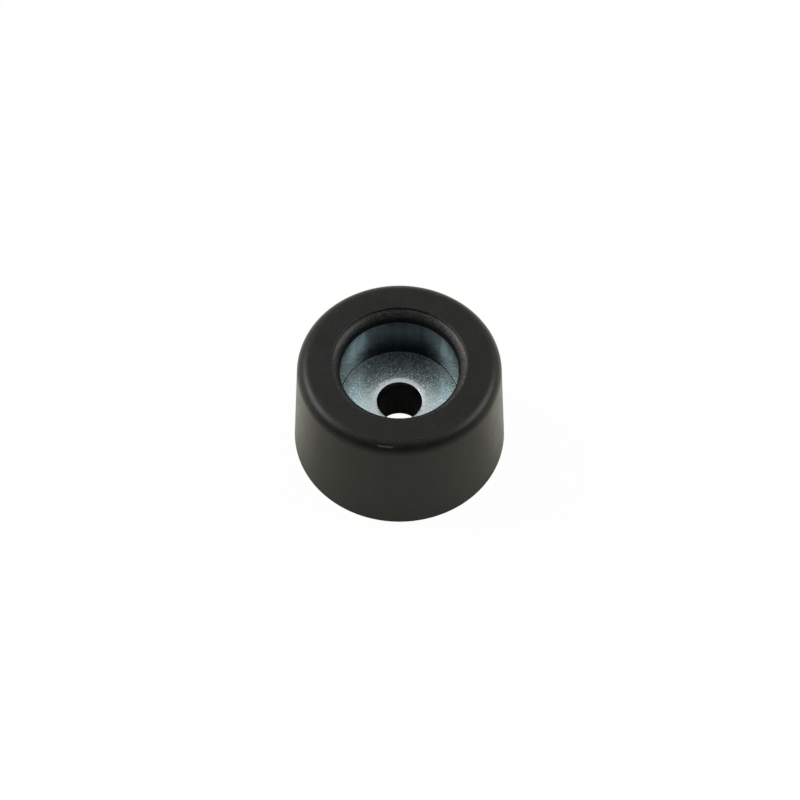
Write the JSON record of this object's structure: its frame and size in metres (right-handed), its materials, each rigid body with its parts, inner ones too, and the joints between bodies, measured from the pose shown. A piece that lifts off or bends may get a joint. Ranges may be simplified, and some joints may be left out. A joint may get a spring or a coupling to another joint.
{
  "type": "rubber foot",
  "caption": "Round tapered rubber foot with a deep central recess, lined by a pressed steel cup washer, and a screw hole through its base.",
  "frame": {"origin": "centre of the flat mounting base, on the axis of the screw hole", "axes": "+Z along the axis from the mounting base to the tread, the way the screw comes out; X and Y are free, because the foot is round"},
  "size_m": [0.038, 0.038, 0.022],
  "materials": {
    "black_rubber": "satin moulded black rubber",
    "zinc_steel": "bright bluish zinc plate on pressed sheet"
  },
  "bodies": {
    "root": {"rubber_body": "black_rubber", "steel_cup": "zinc_steel"}
  },
  "joints": []
}
